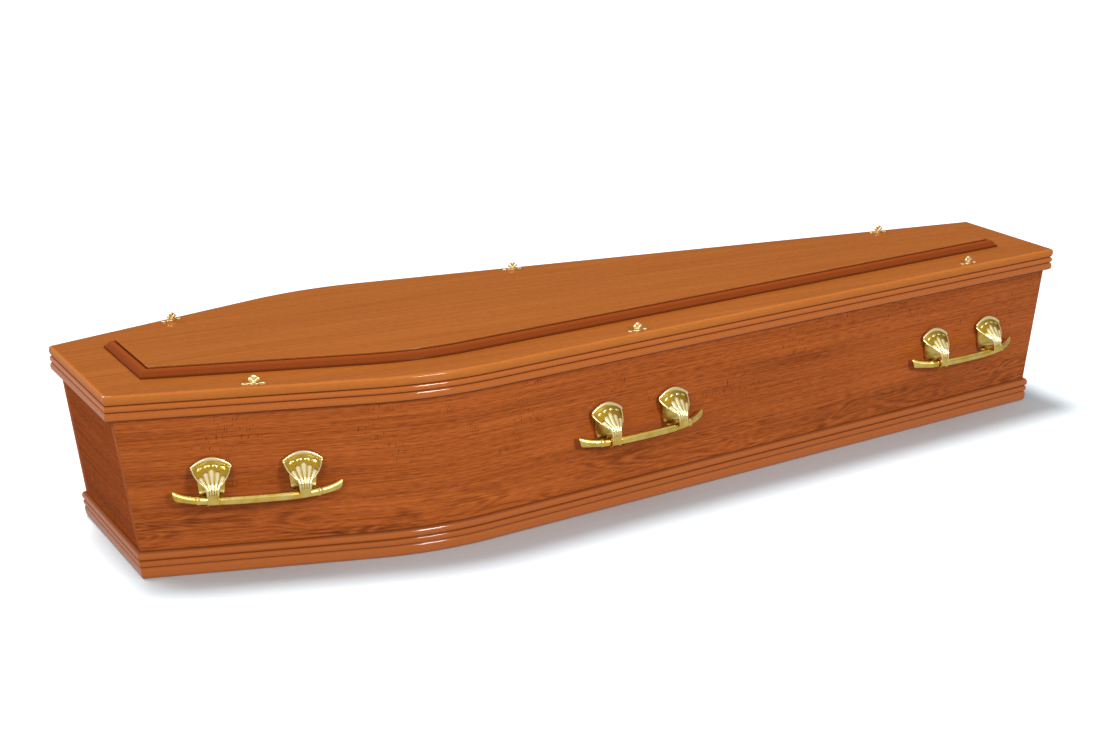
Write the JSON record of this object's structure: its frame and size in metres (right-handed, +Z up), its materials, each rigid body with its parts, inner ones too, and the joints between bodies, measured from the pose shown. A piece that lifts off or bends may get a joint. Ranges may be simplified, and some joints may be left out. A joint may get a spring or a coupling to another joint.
{
  "type": "wooden coffin",
  "caption": "Tapered veneered wooden coffin with a lift-off lid, raised lid panel, reeded mouldings, plinth, brass-finish bar handles and lid thumbscrews.",
  "frame": {"origin": "centre of the coffin's length and width, on the surface it stands on", "axes": "+X from the head end to the foot end, +Z up, +Y to the left-hand side of a person lying in it face up"},
  "size_m": [1.98, 0.5766, 0.3348],
  "materials": {
    "lid_veneer": "orange-brown veneer under gloss lacquer, straight fine grain along the length",
    "side_veneer": "red-brown veneer under gloss lacquer, figured grain along the length with dark pores",
    "end_veneer": "darker red-brown veneer under gloss lacquer",
    "lid_moulding": "gloss lacquered orange-brown moulding",
    "plinth_moulding": "gloss lacquered orange-brown moulding",
    "frame_moulding": "gloss lacquered red-brown moulding",
    "bare_board": "plain uncoated wood-fibre board",
    "handle_brass": "bright brass plating",
    "screw_brass": "bright brass plating"
  },
  "bodies": {
    "root": {"base_board": "bare_board", "side_board_left": "side_veneer", "side_board_right": "side_veneer", "head_board": "end_veneer", "foot_board": "end_veneer", "plinth_left": "plinth_moulding", "plinth_right": "plinth_moulding", "plinth_head": "plinth_moulding", "plinth_foot": "plinth_moulding", "lid_board": "lid_veneer", "lid_moulding_left": "lid_moulding", "lid_moulding_right": "lid_moulding", "lid_moulding_head": "lid_moulding", "lid_moulding_foot": "lid_moulding", "raised_panel": "lid_veneer", "panel_frame_left": "frame_moulding", "panel_frame_right": "frame_moulding", "panel_frame_head": "frame_moulding", "panel_frame_foot": "frame_moulding", "screw_plate_left_1": "screw_brass", "thumbscrew_left_1": "screw_brass", "screw_plate_left_2": "screw_brass", "thumbscrew_left_2": "screw_brass", "screw_plate_left_3": "screw_brass", "thumbscrew_left_3": "screw_brass", "screw_plate_right_1": "screw_brass", "thumbscrew_right_1": "screw_brass", "screw_plate_right_2": "screw_brass", "thumbscrew_right_2": "screw_brass", "screw_plate_right_3": "screw_brass", "thumbscrew_right_3": "screw_brass", "bar_left_1": "handle_brass", "bracket_left_1a": "handle_brass", "bracket_left_1b": "handle_brass", "bar_left_2": "handle_brass", "bracket_left_2a": "handle_brass", "bracket_left_2b": "handle_brass", "bar_left_3": "handle_brass", "bracket_left_3a": "handle_brass", "bracket_left_3b": "handle_brass", "bar_right_1": "handle_brass", "bracket_right_1a": "handle_brass", "bracket_right_1b": "handle_brass", "bar_right_2": "handle_brass", "bracket_right_2a": "handle_brass", "bracket_right_2b": "handle_brass", "bar_right_3": "handle_brass", "bracket_right_3a": "handle_brass", "bracket_right_3b": "handle_brass"}
  },
  "joints": []
}
